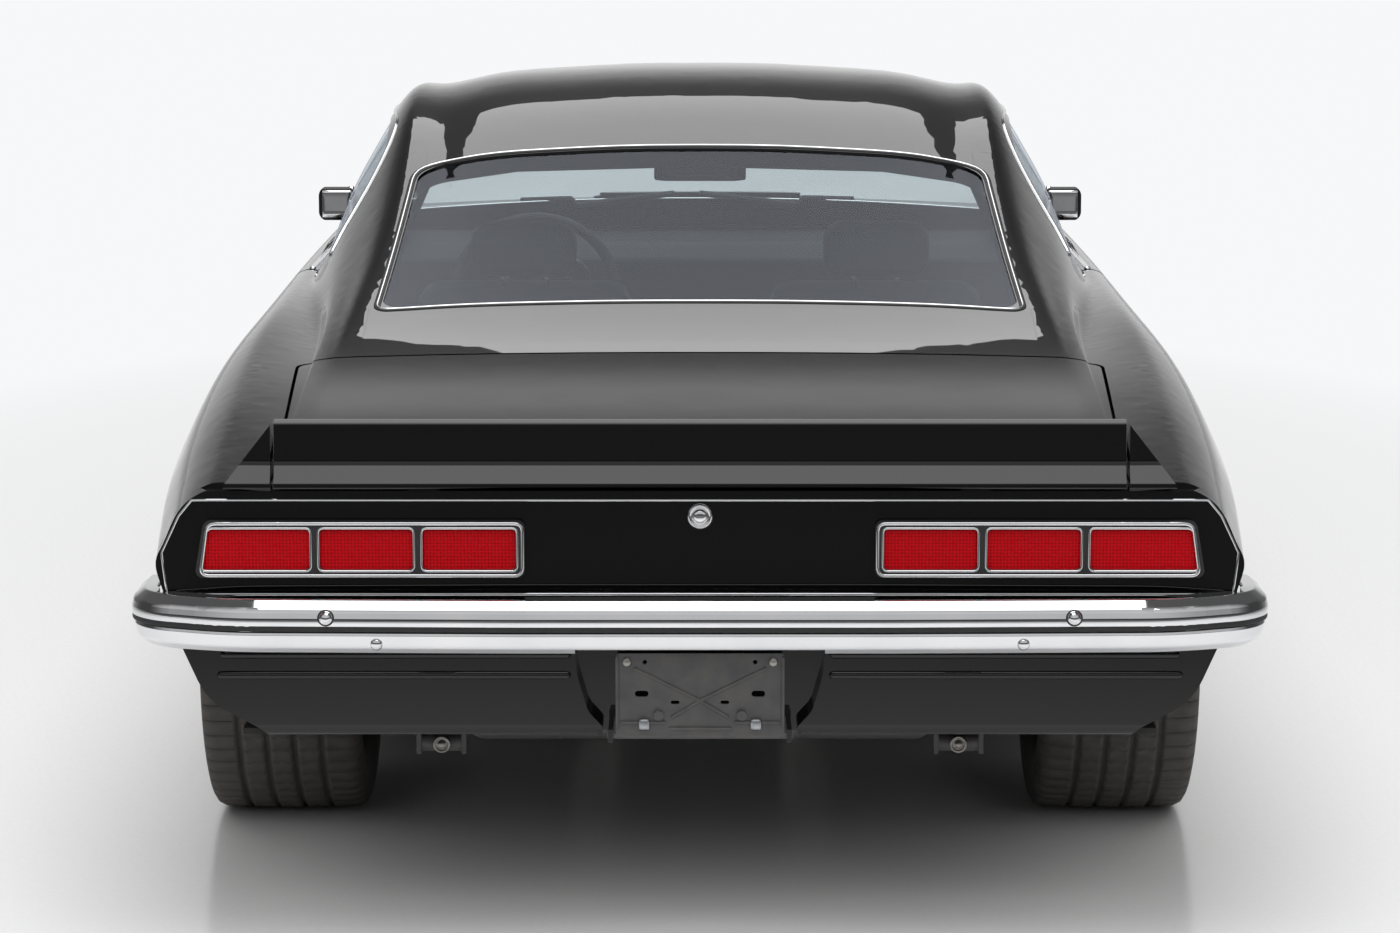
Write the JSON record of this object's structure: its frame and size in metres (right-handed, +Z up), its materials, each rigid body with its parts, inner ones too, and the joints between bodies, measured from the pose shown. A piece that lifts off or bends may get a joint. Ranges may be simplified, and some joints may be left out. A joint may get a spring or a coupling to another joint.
{
  "type": "two-door muscle car",
  "caption": "Classic two-door muscle car with opening doors, hood and trunk lid, steered front wheels and a hinged plate holder.",
  "frame": {"origin": "ground level at the middle of the car's bounding box", "axes": "the car faces -Y, its left side is +X, +Z is up"},
  "size_m": [1.859, 4.7232, 1.3006],
  "materials": {
    "paint": "high gloss black",
    "chrome": "polished",
    "window_glass": "grey tint",
    "lamp_glass": "clear, fluted",
    "red_lens": "gloss red",
    "tyre": "matt black",
    "wheel_metal": "satin grey with bright lip",
    "underbody": "matt black",
    "steel": "dull",
    "iron": "rough cast",
    "grille_black": "satin black",
    "trim_black": "grained black",
    "seat_vinyl": "black vinyl"
  },
  "bodies": {
    "body": {"floor_pan": "underbody", "cowl_panel": "paint", "roof_panel": "paint", "quarter_left": "paint", "quarter_right": "paint", "fender_left": "paint", "fender_right": "paint", "deck_panel": "paint", "tail_panel": "paint", "rear_valance": "paint", "nose_panel": "paint", "front_bumper": "chrome", "rear_bumper": "chrome", "grille": "grille_black", "headlamps": "lamp_glass", "tail_lamps": "chrome", "tail_lenses": "red_lens", "windshield": "window_glass", "rear_window": "window_glass", "quarter_windows": "window_glass", "front_subframe": "underbody", "engine_block": "iron", "rear_axle": "iron", "exhaust": "steel", "fuel_tank": "steel", "dashboard": "trim_black", "front_seats": "seat_vinyl", "rear_seat": "seat_vinyl"},
    "door_left": {"door_left": "paint", "door_glass_left": "window_glass"},
    "door_right": {"door_right": "paint", "door_glass_right": "window_glass"},
    "hood": {"hood": "paint"},
    "trunk_lid": {"trunk_lid": "paint", "spoiler": "paint"},
    "plate_bracket": {"plate_bracket": "steel"},
    "steering_wheel": {"steering_wheel": "trim_black"},
    "knuckle_left": {"knuckle_left": "iron"},
    "knuckle_right": {"knuckle_right": "iron"},
    "wheel_front_left": {"tyre_front_left": "tyre", "rim_front_left": "wheel_metal"},
    "wheel_front_right": {"tyre_front_right": "tyre", "rim_front_right": "wheel_metal"},
    "wheel_rear_left": {"tyre_rear_left": "tyre", "rim_rear_left": "wheel_metal"},
    "wheel_rear_right": {"tyre_rear_right": "tyre", "rim_rear_right": "wheel_metal"}
  },
  "joints": [
    {"name": "door_left_hinge", "type": "hinge", "parent": "body", "child": "door_left", "pos_m": [0.87, -0.805, 0.6], "axis": [0, 0, -1], "range_deg": [0, 60]},
    {"name": "door_right_hinge", "type": "hinge", "parent": "body", "child": "door_right", "pos_m": [-0.87, -0.805, 0.6], "axis": [0, 0, 1], "range_deg": [0, 60]},
    {"name": "hood_hinge", "type": "hinge", "parent": "body", "child": "hood", "pos_m": [0, -0.862, 0.9365], "axis": [-1, 0, 0], "range_deg": [0, 50]},
    {"name": "trunk_hinge", "type": "hinge", "parent": "body", "child": "trunk_lid", "pos_m": [0, 1.485, 0.8665], "axis": [1, 0, 0], "range_deg": [0, 65]},
    {"name": "plate_bracket_hinge", "type": "hinge", "parent": "body", "child": "plate_bracket", "pos_m": [0, 2.298, 0.347], "axis": [-1, 0, 0], "range_deg": [0, 80], "stiffness_Nm_per_rad": 2.5},
    {"name": "steer_left", "type": "hinge", "parent": "body", "child": "knuckle_left", "pos_m": [0.64, -1.43, 0.33], "axis": [0, 0, 1], "range_deg": [-32, 32]},
    {"name": "steer_right", "type": "hinge", "parent": "body", "child": "knuckle_right", "pos_m": [-0.64, -1.43, 0.33], "axis": [0, 0, 1], "range_deg": [-32, 32]},
    {"name": "steering_wheel_turn", "type": "hinge", "parent": "body", "child": "steering_wheel", "pos_m": [0.37, -0.395, 0.76], "axis": [0, 0.9135, 0.4067], "range_deg": [-540, 540]},
    {"name": "wheel_front_left_spin", "type": "hinge", "parent": "knuckle_left", "child": "wheel_front_left", "pos_m": [0.75, -1.43, 0.33], "axis": [1, 0, 0], "continuous": true},
    {"name": "wheel_front_right_spin", "type": "hinge", "parent": "knuckle_right", "child": "wheel_front_right", "pos_m": [-0.75, -1.43, 0.33], "axis": [1, 0, 0], "continuous": true},
    {"name": "wheel_rear_left_spin", "type": "hinge", "parent": "body", "child": "wheel_rear_left", "pos_m": [0.75, 1.313, 0.335], "axis": [1, 0, 0], "continuous": true},
    {"name": "wheel_rear_right_spin", "type": "hinge", "parent": "body", "child": "wheel_rear_right", "pos_m": [-0.75, 1.313, 0.335], "axis": [1, 0, 0], "continuous": true}
  ],
  "couplings": [
    {"joint": "steer_right", "follows": "steer_left", "ratio": 1},
    {"joint": "steering_wheel_turn", "follows": "steer_left", "ratio": 16}
  ]
}
